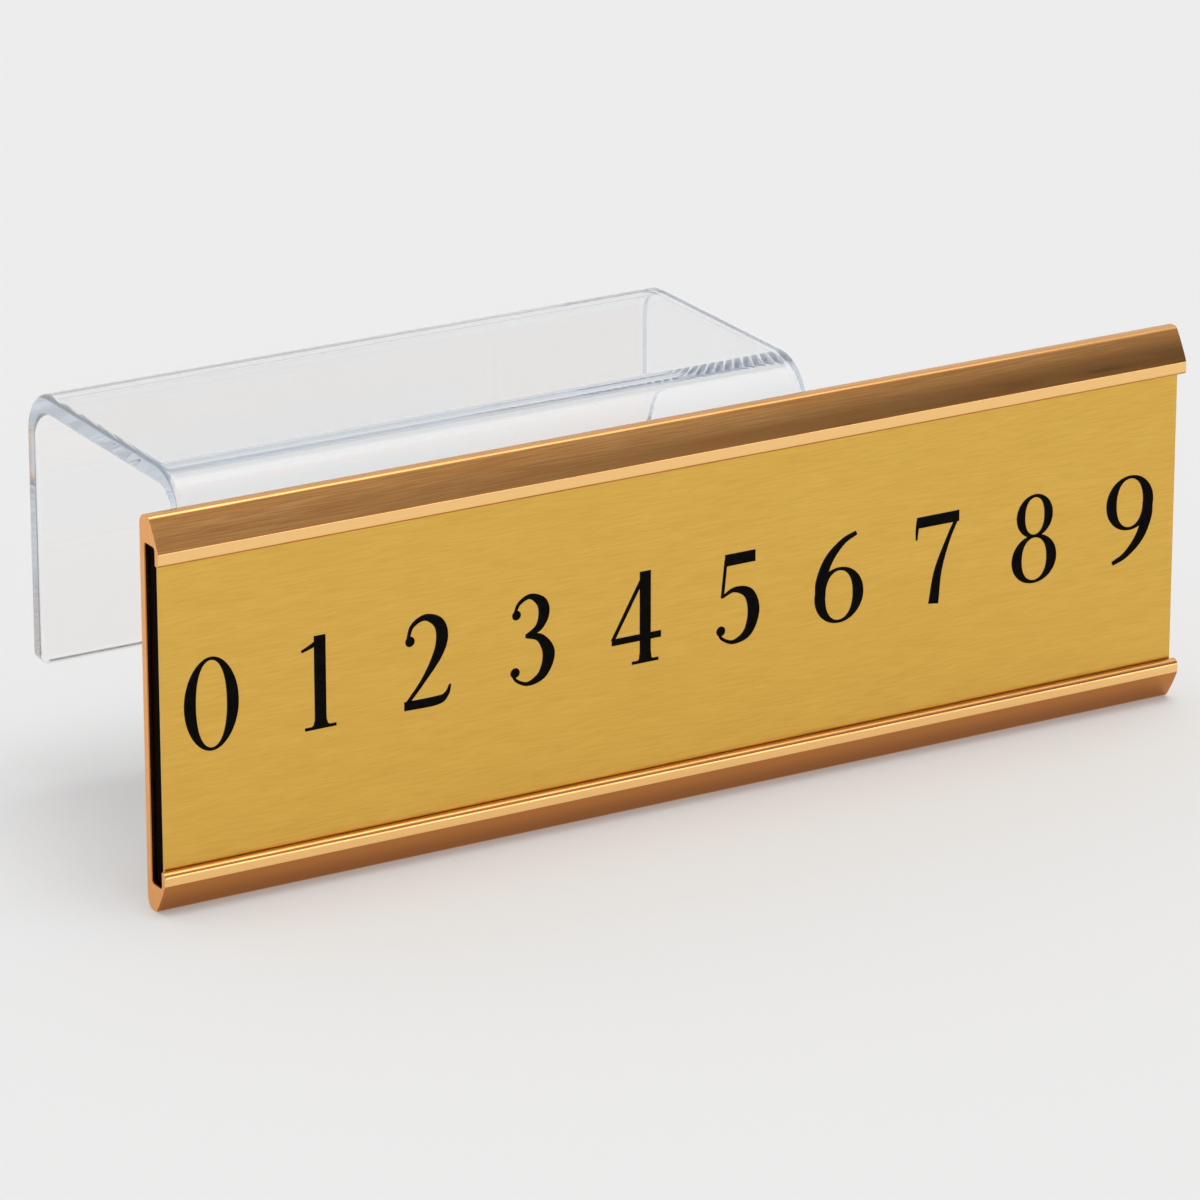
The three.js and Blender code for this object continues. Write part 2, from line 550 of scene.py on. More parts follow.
@dataclass(frozen=True)
class BrushedMetal:
    """A metal with a fine grain along X.

    Attributes:
        name: the material's name.
        light: its colour on the crests of the grain.
        dark: its colour in the grain's hollows.
        roughness: its roughness where the grain is finest, and where it is coarsest.
        streak: length and width of one streak of the grain.
        streak_colour: the colour of the deepest streaks.
        streak_share: how much of that colour they take.
        depth: how deep the grain is.
        painted_highlight: its lighter colour, a painted highlight on faces that turn towards the light,
            if it has one.
        painted_shade: its darker colour, a painted shade where the faces lie in shade, if it has one.
        streaks_between: the fine noise's value where streaks start, and where they are deepest.
        broader: how much longer and wider the bands are in which the streaks lie.
    """

    name: str
    light: Triple
    dark: Triple
    roughness: Span
    streak: Span
    streak_colour: Triple
    streak_share: float
    depth: float
    painted_highlight: Triple | None = None
    painted_shade: Triple | None = None
    streaks_between: Span = (0.42, 0.62)
    broader: Span = (3, 8)

    def material(self) -> Material:
        """Makes the material from two noises, one fine and one broad, both stretched along the grain."""
        shader = Shader(self.name)
        length, width = self.streak
        fine = shader.noise((length, width, width), detail=3.0)
        length, width = self.broader[0] * length, self.broader[1] * width
        broad = shader.noise((length, width, width))
        colour = shader.blend(shader.spread(broad, (0.0, 1.0)), self.light, self.dark)
        streaks = shader.spread(fine, (0.0, self.streak_share), self.streaks_between)
        colour = shader.blend(streaks, colour, self.streak_colour)
        # Painted highlight and painted shade: the colour goes lighter where the points' painted light is
        # 1 and darker where it is -1.
        for painted_colour, most in ((self.painted_highlight, 1.0), (self.painted_shade, -1.0)):
            if painted_colour is not None:
                painted_light = shader.add("Attribute", {}, attribute_name="painted_light").outputs["Fac"]
                colour = shader.blend(shader.spread(painted_light, (0.0, 1.0), (0.0, most)), colour, painted_colour)
        roughness = shader.spread(fine, self.roughness)
        shader.set({"Metallic": 1.0, "Base Color": colour, "Roughness": roughness})
        shader.relief((broad, self.depth), (fine, self.depth))
        return shader.material


@dataclass(frozen=True)
class MarkedFinish:
    """A finish whose colour, roughness and relief all follow one kind of small marks.

    Attributes:
        name: the material's name.
        first: its colour beside the marks.
        second: its colour on them.
        roughness: its middle roughness.
        swing: the share of it by which the roughness changes to both sides.
        grain: the size of one mark along each axis.
        detail: how many finer marks lie on it.
        depth: how deep the marks are.
        optics: how metallic it is, or how it mirrors, by the shader's own names.
    """

    name: str
    first: Triple
    second: Triple
    roughness: float
    swing: float
    grain: Triple
    detail: float
    depth: float
    optics: dict[str, float]

    def material(self) -> Material:
        """Makes the material from its marks."""
        shader = Shader(self.name)
        shader.set(self.optics)
        marks = shader.noise(self.grain, self.detail)
        shader.mottle(marks, self.first, self.second)
        shader.roughen(marks, self.roughness, self.swing)
        shader.relief((marks, self.depth))
        return shader.material


@dataclass(frozen=True)
class FoamTape:
    """White closed-cell foam tape: chalky, with small cells along its edges."""

    light: Triple = (0.92, 0.92, 0.90)
    dark: Triple = (0.80, 0.80, 0.78)
    roughness: Span = (0.75, 0.95)
    cell: Triple = (0.35 * MM, 0.35 * MM, 0.35 * MM)
    stuck: Triple = (9 * MM, 9 * MM, 5 * MM)
    depth: float = 0.05 * MM

    def material(self) -> Material:
        """Makes the material from small cells, and from broad patches where the tape sticks well."""
        shader = Shader("foam_tape")
        cells = shader.noise(self.cell, detail=3.0)
        shader.mottle(shader.noise(self.stuck), self.light, self.dark)
        shader.set({"Roughness": shader.spread(cells, self.roughness)})
        shader.relief((cells, self.depth))
        return shader.material


@dataclass(frozen=True)
class PaleSweep:
    """The pale floor's matt paper.

    Attributes:
        light: its lighter tone.
        dark: its darker tone.
        seen: the tone that it gives by itself where it is seen.
        own_share: the share of its own tone there, which keeps shadows light.
        cloud: the size of one cloud in its tone.
    """

    light: Triple = (0.872, 0.872, 0.872)
    dark: Triple = (0.868, 0.868, 0.868)
    seen: Triple = (0.838, 0.838, 0.838)
    own_share: float = 0.22
    cloud: Triple = (0.4, 0.4, 0.4)

    def material(self) -> Material:
        """Makes the material from faint clouds, with its own tone for camera, metal and acrylic."""
        shader = Shader("pale_sweep")
        shader.set({"Roughness": 1.0, "Specular IOR Level": 0.0})
        shader.mottle(shader.noise(self.cloud), self.light, self.dark)
        looking = shader.looking("Is Glossy Ray", "Is Transmission Ray")
        share = shader.spread(looking, (0.0, self.own_share), (0.0, 1.0))
        own = shader.add("Emission", {"Color": self.seen}).outputs["Emission"]
        paper = shader.chosen(share, shader.main.outputs["BSDF"], own)
        shader.give(shader.output.inputs["Surface"], paper)
        return shader.material


BRUSHED_COPPER = BrushedMetal(
    name="brushed_copper",
    light=(0.98, 0.52, 0.19),
    dark=(0.93, 0.43, 0.14),
    roughness=(0.16, 0.27),
    streak=(11 * MM, 0.2 * MM),
    streak_colour=(0.64, 0.275, 0.085),
    streak_share=0.66,
    depth=0.003 * MM,
    # Painted highlight on the lips' faces and, partly, the crest; painted shade on the lower slope and
    # inside the slot.
    painted_highlight=(1.0, 0.62, 0.25),
    painted_shade=(0.53, 0.21, 0.05),
)
BRUSHED_BRASS = BrushedMetal(
    name="brushed_brass",
    light=(0.80, 0.49, 0.10),
    dark=(0.76, 0.455, 0.09),
    roughness=(0.28, 0.38),
    streak=(6 * MM, 0.26 * MM),
    streak_colour=(0.62, 0.36, 0.065),
    streak_share=0.35,
    depth=0.002 * MM,
)

# The channel's ends, duller than its length, with fine upright marks of the saw
SAWN_COPPER = MarkedFinish(
    name="sawn_copper",
    first=(0.94, 0.46, 0.16),
    second=(0.88, 0.41, 0.14),
    roughness=0.42,
    swing=0.15,
    grain=(0.5 * MM, 0.12 * MM, 3 * MM),
    detail=3.0,
    depth=0.006 * MM,
    optics={"Metallic": 1.0},
)

# Black plastic sheet, dull and slightly torn where it was cut
BLACK_CORE = MarkedFinish(
    name="black_core",
    first=(0.002, 0.001, 0.001),
    second=(0.006, 0.003, 0.002),
    roughness=0.6,
    swing=0.2,
    grain=(0.25 * MM, 0.15 * MM, 0.6 * MM),
    detail=4.0,
    depth=0.02 * MM,
    optics={"Specular IOR Level": 0.05, "IOR": 1.2},
)

# The enamel in the engraved numerals, slightly wavy
BLACK_ENAMEL = MarkedFinish(
    name="black_enamel",
    first=(0.003, 0.0025, 0.002),
    second=(0.005, 0.0045, 0.004),
    roughness=0.3,
    swing=0.3,
    grain=(0.9 * MM, 0.9 * MM, 0.9 * MM),
    detail=1.0,
    depth=0.01 * MM,
    optics={"Specular IOR Level": 0.02},
)


# The sub-assemblies


@dataclass
class SaddleBracket:
    """One clear sheet with two bends, an upside-down U that hangs over the partition's top edge."""

    thickness: float = 4.0 * MM
    gap: float = 54.0 * MM
    leg: float = 50.0 * MM
    inner_bend: float = 5.5 * MM
    corner: float = 2.0 * MM
    polished_edge: float = 1.0 * MM
    edge_steps: int = 8
    bend_rows: int = 25
    finish: ClearAcrylic = ClearAcrylic()

    def middle_bend(self) -> float:
        """The bend's radius half-way through the sheet."""
        return self.inner_bend + self.thickness / 2

    def half_flat(self) -> float:
        """Half of the flat stretch over the partition."""
        return self.gap / 2 - self.inner_bend

    def bent(self, x: Array, s: Array, w: Array) -> Array:
        """Bends the flat sheet over the partition.

        From the middle out, the sheet runs level to the bend, turns by (distance past the flat) / (bend's
        middle radius) up to a quarter turn, and goes straight down for what is left. The turn's radius at
        a point is the middle radius plus w.

        Args:
            x: places along the bracket.
            s: places across the flat sheet, negative to the front.
            w: places through its thickness, positive to the outside.

        Returns:
            The points of the bent sheet.
        """
        run = np.abs(s)
        quarter = self.middle_bend() * np.pi / 2
        turn = np.clip((run - self.half_flat()) / self.middle_bend(), 0, np.pi / 2)
        drop = np.maximum(run - self.half_flat() - quarter, 0)
        radius = self.middle_bend() + w
        y = np.sign(s) * (np.minimum(run, self.half_flat()) + radius * np.sin(turn))
        z = -self.inner_bend + radius * np.cos(turn) - drop
        return np.stack([x, y, z], axis=-1)

    def build(self) -> Piece:
        """Makes the bracket from one rounded sheet with enough rows in its two bends."""
        length = Box(*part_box("saddle_bracket")).size.x
        quarter = self.middle_bend() * np.pi / 2
        width = 2 * (self.half_flat() + quarter + self.leg - self.inner_bend)
        bend = self.half_flat() + np.linspace(0, quarter, self.bend_rows)
        rows = np.concatenate([-bend[::-1], bend])
        radii = (self.corner, self.polished_edge)
        sheet = RoundedSheet(length, width, self.thickness, *radii, self.edge_steps)
        piece = make_piece("clear_bracket", sheet.surface(self.bent, rows), [self.finish.material()])
        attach(piece, Body.HANGER.value)
        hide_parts("saddle_bracket")
        return piece


@dataclass
class FoamTapes:
    """The two strips that hold the channel to the bracket's front leg."""

    corner: float = 0.4 * MM
    edge: float = 0.2 * MM
    edge_steps: int = 3
    pressed_in: float = 0.02 * MM
    finish: FoamTape = FoamTape()

    def build(self) -> list[Piece]:
        """Makes both strips, pressed on so that no air shows behind the acrylic."""
        material = self.finish.material()
        strips = []
        for node in ("tape_upper", "tape_lower"):
            low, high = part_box(node)
            box = Box(low, high + Vector((0, self.pressed_in, 0)))
            sheet = RoundedSheet.filling(box, self.corner, self.edge, self.edge_steps)
            strip = make_piece(node + "_foam", sheet.surface(upright(box.middle)), [material])
            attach(strip, Body.HANGER.value)
            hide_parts(node)
            strips.append(strip)
        return strips


@dataclass
class PlateHolder:
    """The extruded channel, closed to the back, with a lip along the top and another along the bottom.

    The sizes from wall to slot_corner are those of its section. Of the others:

    Attributes:
        crowned_at: where the slope is crowned, as a share of its way down.
        crowned_by: how far it stands proud there.
        deburred: the radius of the edges round the sawn ends.
        turned_from: how far a face turns from the slope's lean, as a share of it, before a painted
            highlight starts on it.
        turned_over: the share over which the painted highlight grows to its full strength.
        highlight_up_or_down: how much of that painted highlight a face has that looks up or down.
        margin: the share of the lip and the wall at which the slot's inside starts.
    """

    wall: float = 1.9 * MM
    lip: float = 1.5 * MM
    crown: float = 5.25 * MM
    crown_width: float = 3.6 * MM
    slope: float = 6.1 * MM
    lip_reach: float = 8.55 * MM
    back_corner: float = 2.2 * MM
    crest: float = 1.3 * MM
    lip_corner: float = 0.3 * MM
    upper_nose: float = 0.6 * MM
    lower_nose: float = 1.15 * MM
    lip_inside: float = 0.25 * MM
    slot_corner: float = 0.6 * MM
    crowned_at: float = 0.6
    crowned_by: float = 0.24 * MM
    crowned_radius: float = 34.0 * MM
    deburred: float = 0.18 * MM
    arc_steps: int = 10
    end_steps: int = 5
    turned_from: float = 0.2
    turned_over: float = 0.6
    highlight_up_or_down: float = 0.25
    margin: float = 0.1
    finish: BrushedMetal = BRUSHED_COPPER
    cut_finish: MarkedFinish = SAWN_COPPER

    @property
    def box(self) -> Box:
        """The channel's box."""
        return Box(*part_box("plate_holder"))

    def outline(self) -> tuple[Array, Array]:
        """Works out the channel's outline in Y and Z.

        The lower half mirrors the upper one, but for a rounder nose on its lip. The slope is slightly
        crowned: a corner of a long radius stands a little proud of it.

        Returns:
            The outline's points, and its outward directions there.
        """
        box = self.box
        back, front = box.high.y, box.low.y
        middle = (box.low.z + box.high.z) / 2
        top = box.high.z - middle
        slot_top = top - self.crown
        crest_y = back - self.crown_width
        slope_y, slope_z = front - crest_y, -self.slope
        proud = self.crowned_by / math.hypot(slope_y, slope_z)
        crown_y = crest_y + self.crowned_at * slope_y + proud * slope_z
        crown_z = top + self.crowned_at * slope_z - proud * slope_y

        def half(nose: float) -> list[Triple]:
            """The corners of the upper half, with a given radius on the lip's nose."""
            return [
                (back, top, self.back_corner),
                (crest_y, top, self.crest),
                (crown_y, crown_z, self.crowned_radius),
                (front, top - self.slope, self.lip_corner),
                (front, top - self.lip_reach, nose),
                (front + self.lip, top - self.lip_reach, self.lip_inside),
                (front + self.lip, slot_top, self.slot_corner),
                (back - self.wall, slot_top, self.slot_corner),
            ]

        upper = [(y, middle + z, radius) for y, z, radius in half(self.upper_nose)]
        lower = [(y, middle - z, radius) for y, z, radius in reversed(half(self.lower_nose))]
        return rounded_outline(upper + lower, self.arc_steps)

    def painted_light(self, outline: Array, outward: Array) -> Array:
        """Works out the light and shade painted on the channel's copper, by the way its faces turn.

        It is 1 on the lips' faces, 0 on the upper slope, and -1 on the lower one and in the slot. With t
        as how far a face turns from the slope's lean, from 0 to 1, it rises by t squared times (3 - 2 t).

        Args:
            outline: the outline's points in Y and Z.
            outward: the outline's outward directions.

        Returns:
            A value from -1 to 1 for each point of the outline.
        """
        box = self.box
        steep = math.atan2(box.size.y - self.crown_width, self.slope)
        lean = np.arctan2(np.abs(outward[:, 1]), -outward[:, 0])
        turned = np.clip((np.abs(lean - steep) / steep - self.turned_from) / self.turned_over, 0, 1)
        # Painted highlight, growing as a face turns from the slope's lean; faces that look up or down get
        # only a share.
        painted_highlight = turned * turned * (3 - 2 * turned) * np.where(lean < steep, 1.0, self.highlight_up_or_down)
        below = (outward[:, 1] < 0) & (lean < 2 * steep)
        in_front = outline[:, 0] < box.low.y + (1 - self.margin) * self.lip
        behind = outline[:, 0] > box.high.y - (1 - self.margin) * self.wall
        slot_end = box.size.z / 2 - self.crown
        beyond = np.abs(outline[:, 1] - box.middle.z) > slot_end + self.margin * self.lip
        outside = in_front | behind | beyond
        # Painted shade: the lower slope and the slot's inside go to -1.
        return np.where(outside, np.where(below, 2 * painted_highlight - 1, painted_highlight), -1.0)

    def surface(self) -> Surface:
        """Carries the outline along X and closes it with a cut face at each end.

        Towards an end, at the turn a from the end's face, the outline stands deburred times (1 - sin a)
        inside the body's own one and deburred times (1 - cos a) short of the end.

        Returns:
            The closed surface, with its two cut faces in slot 1.
        """
        outline, outward = self.outline()
        turn = np.linspace(0, np.pi / 2, self.end_steps)
        inset = self.deburred * (1 - np.sin(turn))
        short = self.deburred * (1 - np.cos(turn))
        x = np.concatenate([self.box.high.x - short, self.box.low.x + short[::-1]])
        inward = np.concatenate([inset, inset[::-1]])
        section = outline[None, :, :] - inward[:, None, None] * outward[None, :, :]
        along = np.repeat(x[:, None], len(outline), axis=1)
        points = np.concatenate([along[:, :, None], section], axis=2).reshape(-1, 3)
        loops = np.arange(len(points)).reshape(len(x), len(outline))
        caps = [(loops[0], 1), (loops[-1][::-1], 1)]
        # The painted light and shade for every point along the channel.
        painted_light = np.tile(self.painted_light(outline, outward), len(x))
        return Surface(points, [loops_joined(loops)], caps, painted_light)

    def build(self) -> Piece:
        """Makes the channel with its brushed length and its sawn ends."""
        finishes = [self.finish.material(), self.cut_finish.material()]
        piece = make_piece("copper_channel", self.surface(), finishes)
        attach(piece, Body.HANGER.value)
        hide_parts("plate_holder")
        return piece


@dataclass(frozen=True)
class Stroke:
    """One pen stroke of a numeral: points it passes, each with its x, y and the stroke's width there."""

    path: tuple[Triple, ...]

    def cells(self, samples: int = 12) -> Surface:
        """Works out the stroke as a row of four-sided cells.

        Between two points the path is the cubic that leaves each one in the direction from the point
        before it to the point after it. Each side lies half the width from the path, square to it.

        Args:
            samples: steps from one point to the next.

        Returns:
            The stroke's points in x and y, left and right by turns, and its cells against the clock.
        """
        given = np.array(self.path)
        before = np.concatenate([[2 * given[0] - given[1]], given[:-2]])[:, None]
        after = np.concatenate([given[2:], [2 * given[-1] - given[-2]]])[:, None]
        here, there = given[:-1, None], given[1:, None]
        t = np.linspace(0, 1, samples, endpoint=False)[None, :, None]
        third = 3 * (here - there) + after - before
        second = 2 * before - 5 * here + 4 * there - after
        curve = here + 0.5 * t * (there - before + t * (second + t * third))
        curve = np.concatenate([curve.reshape(-1, 3), given[-1:]])
        heading = np.gradient(curve[:, :2], axis=0)
        heading /= np.linalg.norm(heading, axis=1, keepdims=True)
        side = np.stack([-heading[:, 1], heading[:, 0]], axis=-1) * curve[:, 2:] / 2
        points = np.stack([curve[:, :2] + side, curve[:, :2] - side], axis=1).reshape(-1, 2)
        left = 2 * np.arange(len(curve) - 1)
        return Surface(points, [np.stack([left + 1, left + 3, left + 2, left], axis=-1)])


# Numerals are one unit high and this wide, with strokes between these widths
NUMERAL_WIDTH = 0.62
BOLD = 0.135
HAIR = 0.036

# Points round a ring and a dot, how far a ring runs on past its start, and how far a dot stays short of
# its poles, as turns in radians
RING_POINTS = 26
RING_OVERLAP = 0.1
DOT_POINTS = 13
DOT_SHORT = 0.06


def pen(*path: Triple) -> Stroke:
    """A stroke through some points."""
    return Stroke(path)


def ring(middle: Span, reach: Span, thick: float) -> Stroke:
    """A closed oval stroke, thin over its top and bottom and thick at its sides.

    At the turn a it passes middle + reach times (cos a, sin a), and its width is HAIR +
    (thick - HAIR) times the square of cos a.

    Args:
        middle: the oval's middle.
        reach: half its width and half its height, to the middle of the stroke.
        thick: the greatest width.

    Returns:
        The stroke, which ends a little past its start.
    """
    turn = np.linspace(0, 2 * np.pi + RING_OVERLAP, RING_POINTS)
    x = middle[0] + reach[0] * np.cos(turn)
    y = middle[1] + reach[1] * np.sin(turn)
    width = HAIR + (thick - HAIR) * np.cos(turn) ** 2
    return Stroke(tuple(zip(x.tolist(), y.tolist(), width.tolist())))


def dot(x: float, y: float, radius: float) -> Stroke:
    """A round end of a stroke: a short upright one whose width at the turn a is 2 radius sin a."""
    turn = np.linspace(DOT_SHORT, np.pi - DOT_SHORT, DOT_POINTS)
    middles = (y - radius * np.cos(turn)).tolist()
    return Stroke(tuple(zip([x] * DOT_POINTS, middles, (2 * radius * np.sin(turn)).tolist())))


def stem(x: float, foot: float) -> list[Stroke]:
    """A bold upright stroke of full height, with a flared foot on a flat serif.

    Args:
        x: its middle.
        foot: the serif's length.

    Returns:
        The upright and the serif.
    """
    flare = ((x, 0.02, 0.75 * foot), (x, 0.045, 0.5 * foot), (x, 0.085, 1.08 * BOLD), (x, 0.15, BOLD))
    serif = pen((x - foot / 2, HAIR / 2, HAIR), (x + foot / 2, HAIR / 2, HAIR))
    return [pen(*flare, (x, 0.5, BOLD), (x, 1.0, BOLD)), serif]


def turned(strokes: Sequence[Stroke]) -> list[Stroke]:
    """Turns strokes upside down about a numeral's middle."""
    return [pen(*((NUMERAL_WIDTH - x, 1 - y, width) for x, y, width in each.path)) for each in strokes]


def numerals() -> list[list[Stroke]]:
    """The strokes of the ten plain numerals, from 0 to 9.

    Returns:
        A list of strokes for each numeral.
    """
    hook = ((0.43, 0.11, 0.11), (0.26, 0.028, 0.05), (0.12, 0.085, 0.035), (0.075, 0.17, 0.035))
    waist = (0.23, 0.545, 0.035)
    zero = [ring((0.31, 0.5), (0.24, 0.48), BOLD)]
    one = [*stem(0.31, 0.36), pen((0.35, 0.965, 0.07), (0.22, 0.9, 0.05), (0.1, 0.855, 0.03))]
    crook = ((0.085, 0.735, 0.04), (0.14, 0.895, 0.05), (0.29, 0.965, 0.07), (0.44, 0.885, 0.12))
    sweep = ((0.485, 0.73, 0.14), (0.43, 0.54, 0.115), (0.27, 0.3, 0.06), (0.075, 0.075, 0.045))
    two = [
        pen(*crook, *sweep),
        pen((0.04, 0.05, 0.1), (0.42, 0.05, 0.1), (0.53, 0.1, 0.06), (0.575, 0.2, 0.025)),
        dot(0.115, 0.735, 0.055),
    ]
    cap = ((0.1, 0.8, 0.035), (0.16, 0.915, 0.045), (0.29, 0.967, 0.06), (0.42, 0.88, 0.12))
    three = [
        pen(*cap, (0.445, 0.75, 0.13), (0.38, 0.615, 0.09), waist),
        pen(waist, (0.4, 0.5, 0.09), (0.5, 0.32, 0.145), *hook),
        dot(0.125, 0.79, 0.052),
        dot(0.105, 0.17, 0.055),
    ]
    four = [
        *stem(0.42, 0.32),
        pen((0.41, 0.965, 0.05), (0.03, 0.3, 0.045)),
        pen((0.02, 0.285, 0.075), (0.61, 0.285, 0.075)),
    ]
    five = [
        pen((0.15, 0.935, 0.13), (0.52, 0.935, 0.13)),
        pen((0.165, 0.95, 0.04), (0.12, 0.53, 0.04)),
        pen((0.115, 0.54, 0.03), (0.27, 0.6, 0.06), (0.44, 0.53, 0.12), (0.5, 0.33, 0.145), *hook),
        dot(0.105, 0.17, 0.055),
    ]
    back = ((0.53, 0.965, 0.05), (0.36, 0.89, 0.075), (0.19, 0.72, 0.115), (0.1, 0.5, 0.135))
    six = [ring((0.32, 0.31), (0.235, 0.29), BOLD), pen(*back, (0.09, 0.32, 0.13))]
    seven = [
        pen((0.05, 0.93, 0.125), (0.58, 0.93, 0.125)),
        pen((0.07, 0.96, 0.05), (0.055, 0.85, 0.04), (0.05, 0.74, 0.025)),
        pen((0.56, 0.93, 0.05), (0.43, 0.66, 0.06), (0.32, 0.35, 0.1), (0.27, 0.0, 0.13)),
    ]
    eight = [ring((0.31, 0.755), (0.175, 0.225), 0.11), ring((0.31, 0.275), (0.22, 0.255), 0.13)]
    return [zero, one, two, three, four, five, six, seven, eight, turned(six)]


@dataclass
class SlidePlate:
    """The two-ply plate: a brushed brass face on a black core, engraved with a plain row of numerals."""

    corner: float = 0.35 * MM
    edge: float = 0.08 * MM
    edge_steps: int = 4
    numeral_height: float = 17.8 * MM
    row_width: float = 207.0 * MM
    row_rise: float = 1.0 * MM
    engraved: float = 0.3 * MM
    enamel_below: float = 0.05 * MM
    least_cell: float = 1e-4
    same_point: float = 1e-5
    face_finish: BrushedMetal = BRUSHED_BRASS
    core_finish: MarkedFinish = BLACK_CORE
    enamel: MarkedFinish = BLACK_ENAMEL

    def row(self, middle: Vector) -> list[Surface]:
        """Sets the numerals out in a row of even steps.

        Args:
            middle: the middle of the plate's face.

        Returns:
            The cells of every stroke, in X and Z.
        """
        symbols = numerals()
        step = (self.row_width - NUMERAL_WIDTH * self.numeral_height) / (len(symbols) - 1)
        foot = middle.z + self.row_rise - self.numeral_height / 2
        first = np.array([middle.x - self.row_width / 2, foot])
        placed = []
        for number, strokes in enumerate(symbols):
            start = first + np.array([number * step, 0])
            cells = [stroke.cells() for stroke in strokes]
            placed += [Surface(start + self.numeral_height * cell.points, cell.faces) for cell in cells]
        return placed

    def split(
        self, outline: Array, strokes: Sequence[Surface]
    ) -> tuple[Array, Array, Array]:
        """Splits the plate's face into triangles that follow the edges of the strokes.

        Args:
            outline: the face's outline in X and Z.
            strokes: the cells of every stroke.

        Returns:
            The points in X and Z, the triangles of the bare face, and those of the numerals.
        """
        starts = np.cumsum([len(outline)] + [len(stroke.points) for stroke in strokes])
        cells = np.concatenate([stroke.faces[0] + start for stroke, start in zip(strokes, starts)])
        halves = np.concatenate([cells[:, [0, 1, 2]], cells[:, [0, 2, 3]]])
        given = np.concatenate([outline, *(stroke.points for stroke in strokes)]) / MM
        start, middle, end = (given[halves[:, column]] for column in range(3))
        first, second = middle - start, end - start
        area = first[:, 0] * second[:, 1] - first[:, 1] * second[:, 0]
        halves[area < 0] = halves[area < 0, ::-1]
        kept = halves[np.abs(area) > self.least_cell].tolist()
        shapes = [list(range(len(outline))), *kept]
        corners = [Vector(point) for point in given.tolist()]
        made, _, triangles, _, _, origins = delaunay_2d_cdt(corners, [], shapes, 0, self.same_point)
        inked = np.array([max(origin, default=0) > 0 for origin in origins])
        triangles = np.array(triangles)
        return np.array([tuple(point) for point in made]) * MM, triangles[~inked], triangles[inked]

    def engraving(self, box: Box, outline: Array) -> tuple[Surface, Surface]:
        """Works out the face's front with the engraved grooves, and the enamel that fills them.

        Args:
            box: the face's box.
            outline: the outline of its front.

        Returns:
            The front with its grooves, open to the back, and the closed enamel.
        """
        flat, bare, inked = self.split(outline, self.row(box.middle))
        count = len(flat)

        def at(depth: float) -> Array:
            """The flat points at a depth below the front."""
            return np.stack([flat[:, 0], np.full(count, box.low.y + depth), flat[:, 1]], axis=-1)

        start, end = border(inked).T
        walls = np.stack([start, end, end + count, start + count], axis=-1)
        front = Surface(np.concatenate([at(0), at(self.engraved)]), [bare, inked + count, walls])
        shells = [inked, inked[:, ::-1] + count, walls[:, ::-1]]
        fill = Surface(np.concatenate([at(self.enamel_below), at(self.engraved)]), shells)
        return front.tidied(), fill.tidied()

    def ply(self, box: Box) -> RoundedSheet:
        """The rounded sheet of one ply."""
        return RoundedSheet.filling(box, self.corner, self.edge, self.edge_steps)

    def build(self) -> list[Piece]:
        """Makes the face, the enamel in its engraving and the core."""
        box = Box(*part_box("plate_face"))
        sheet = self.ply(box)
        outline = sheet.face_outline() + np.array([box.middle.x, box.middle.z])
        front, fill = self.engraving(box, outline)
        back_and_rim = sheet.surface(upright(box.middle), faced=False)
        shape = joined(back_and_rim, front)
        face = make_piece("brass_face", shape, [self.face_finish.material()], weld=True)
        enamel = make_piece("enamel_fill", fill, [self.enamel.material()])
        box = Box(*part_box("plate_core"))
        shape = self.ply(box).surface(upright(box.middle))
        core = make_piece("black_core", shape, [self.core_finish.material()])
        slots = ((face, "brushed_brass"), (enamel, "black_core"), (core, "black_core"))
        for piece, slot in slots:
            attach(piece, Body.PLATE.value)
        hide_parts("plate_face")
        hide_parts("plate_core")
        return [face, enamel, core]


# Floor, light and camera


@dataclass(frozen=True)
class Patch:
    """A soft round patch of the sky.

    Attributes:
        towards: the direction of its middle.
        tone: its brightness, where 1 is white.
        core: how far its even middle reaches, in degrees.
        edge: how far its fading edge reaches, in degrees.
    """

    towards: Triple
    tone: float
    core: float
    edge: float

    def reach(self) -> Span:
        """The cosines of where it starts to show and where it is full."""
        return math.cos(math.radians(self.edge)), math.cos(math.radians(self.core))


class Sky(Nodes):
    """The nodes of the scene's world."""

    def __init__(self) -> None:
        """Starts the world."""
        world = bpy.data.worlds.new("studio_sky")
        bpy.context.scene.world = world
        super().__init__(world)
        self.direction = self.add("TexCoord", {}).outputs["Generated"]

    def rise(self, axis: Triple, ends: Span) -> Socket:
        """How far a direction lies towards an axis, from 0 at the lower end to 1 at the upper."""
        inputs = {0: self.direction, 1: Vector(axis).normalized()}
        along = self.add("VectorMath", inputs, operation="DOT_PRODUCT").outputs["Value"]
        return self.spread(along, (0.0, 1.0), ends, "SMOOTHSTEP")

    def white(self, strength: Socket) -> Socket:
        """A white sky of a strength, where 1 is white."""
        inputs = {"Color": (1.0, 1.0, 1.0), "Strength": strength}
        return self.add("Background", inputs).outputs["Background"]


